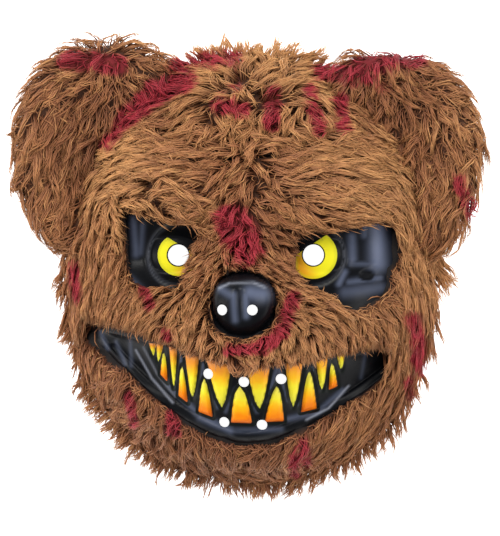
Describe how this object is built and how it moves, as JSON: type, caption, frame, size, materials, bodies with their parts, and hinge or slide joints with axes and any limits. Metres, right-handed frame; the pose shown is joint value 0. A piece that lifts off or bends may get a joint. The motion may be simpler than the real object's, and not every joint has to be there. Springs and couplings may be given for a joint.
{
  "type": "bear mask",
  "caption": "Face mask of a snarling bear: thin moulded plastic face with raised teeth, nose and pierced eyes, covered in long plush, with plush ears.",
  "frame": {"origin": "under the middle of the whole mask, on the plane of the shell's back rim", "axes": "+Z out of the face, +Y to the top of the head, +X to the right as seen from the front"},
  "size_m": [0.2428, 0.231, 0.0853],
  "materials": {
    "shell_plastic": "black, glossy, formed from thin sheet",
    "head_plush": "long golden brown pile with dark red stains",
    "ear_plush": "long golden brown pile"
  },
  "bodies": {
    "root": {"face_shell": "shell_plastic", "crown_fur": "head_plush", "brow_fur_left": "head_plush", "brow_fur_right": "head_plush", "cheek_fur_left": "head_plush", "cheek_fur_right": "head_plush", "jaw_fur": "head_plush", "ear_left": "ear_plush", "ear_right": "ear_plush"}
  },
  "joints": []
}
